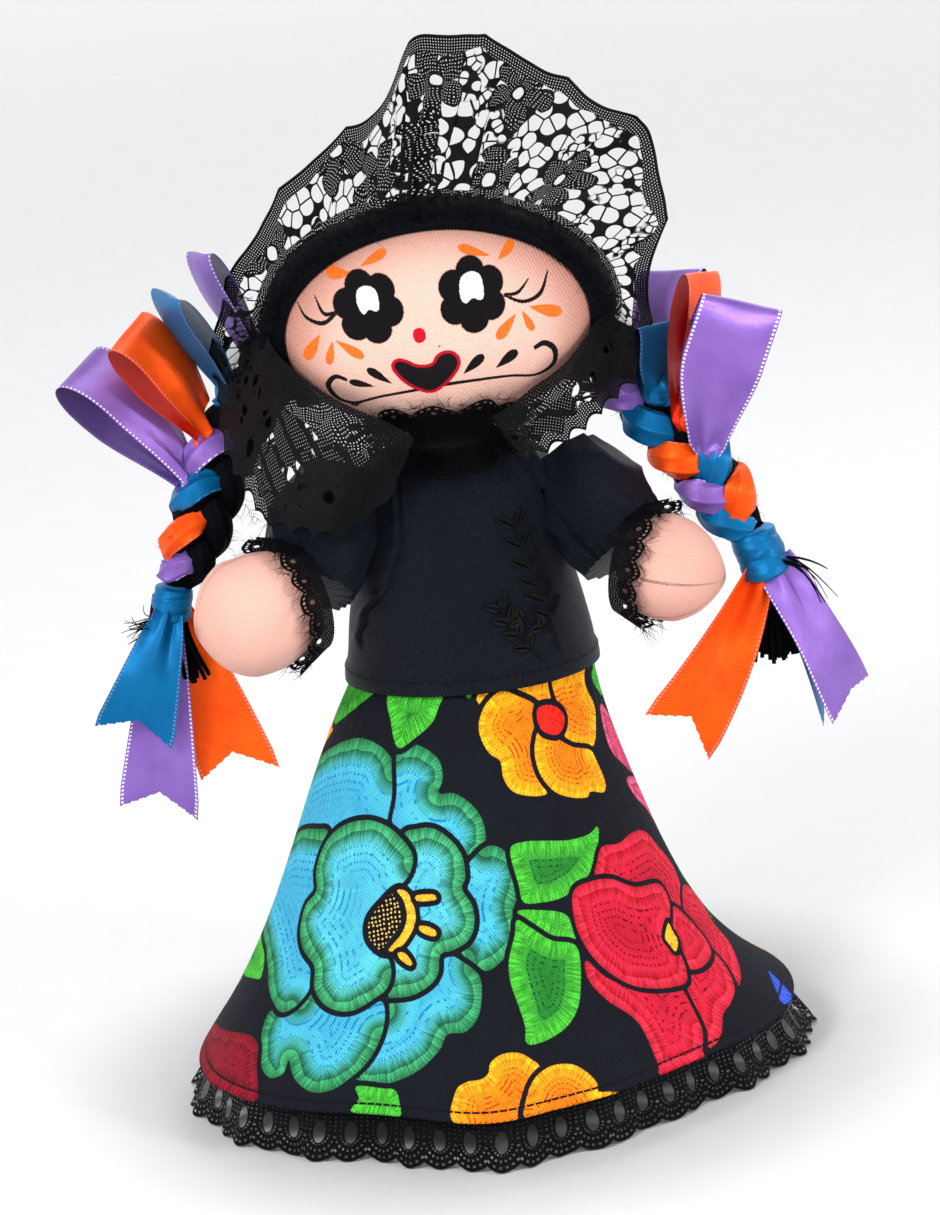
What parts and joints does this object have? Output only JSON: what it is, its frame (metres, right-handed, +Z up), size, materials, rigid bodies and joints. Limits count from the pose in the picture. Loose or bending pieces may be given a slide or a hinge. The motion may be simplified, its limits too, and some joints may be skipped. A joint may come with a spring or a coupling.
{
  "type": "stuffed cloth rag doll with day of the dead face paint, lace mantilla and flowered skirt",
  "caption": "Stuffed cloth doll that stands on the lace hem of a hollow bell skirt, with face paint, a raised lace mantilla, and yarn plaits tied in satin ribbons.",
  "frame": {"origin": "centre of the bounding box, on the floor under the hem", "axes": "+Z up, -Y to the front, where the doll faces, +X to the doll's left"},
  "size_m": [0.2344, 0.1888, 0.3166],
  "materials": {
    "flesh_jersey": "fine ribbed knit, matt, stuffed",
    "black_yarn": "matt, fuzzy",
    "black_lace": "matt",
    "black_cotton": "matt twill",
    "printed_canvas": "matt canvas weave, printed in many colours on black",
    "purple_satin": "satin sheen",
    "orange_satin": "satin sheen",
    "blue_satin": "satin sheen"
  },
  "bodies": {
    "root": {"skirt": "printed_canvas", "hem_lace": "black_lace", "blouse": "black_cotton", "head": "flesh_jersey", "hair": "black_yarn", "lace_mantilla": "black_lace", "neck_ruffle": "black_lace", "sleeve_right": "black_cotton", "hand_right": "flesh_jersey", "cuff_lace_right": "black_lace", "sleeve_left": "black_cotton", "hand_left": "flesh_jersey", "cuff_lace_left": "black_lace", "plait_right": "black_yarn", "ribbon_knot_right": "blue_satin", "ribbon_purple_band_right_1": "purple_satin", "ribbon_blue_band_right_2": "blue_satin", "ribbon_orange_band_right_3": "orange_satin", "ribbon_purple_band_right_4": "purple_satin", "plait_left": "black_yarn", "ribbon_knot_left": "blue_satin", "ribbon_purple_band_left_1": "purple_satin", "ribbon_blue_band_left_2": "blue_satin", "ribbon_orange_band_left_3": "orange_satin", "ribbon_blue_band_left_4": "blue_satin", "ribbon_purple_band_left_5": "purple_satin", "ribbon_orange_band_left_6": "orange_satin", "ribbon_blue_band_left_7": "blue_satin", "ribbon_purple_loop_right_1": "purple_satin", "ribbon_orange_loop_right_2": "orange_satin", "ribbon_blue_loop_right_3": "blue_satin", "ribbon_purple_loop_right_4": "purple_satin", "ribbon_purple_loop_left_1": "purple_satin", "ribbon_orange_loop_left_2": "orange_satin", "ribbon_purple_loop_left_3": "purple_satin", "ribbon_blue_loop_left_4": "blue_satin", "ribbon_blue_tail_right_1": "blue_satin", "ribbon_purple_tail_right_2": "purple_satin", "ribbon_orange_tail_right_3": "orange_satin", "ribbon_orange_tail_left_1": "orange_satin", "ribbon_purple_tail_left_2": "purple_satin", "ribbon_blue_tail_left_3": "blue_satin"}
  },
  "joints": []
}
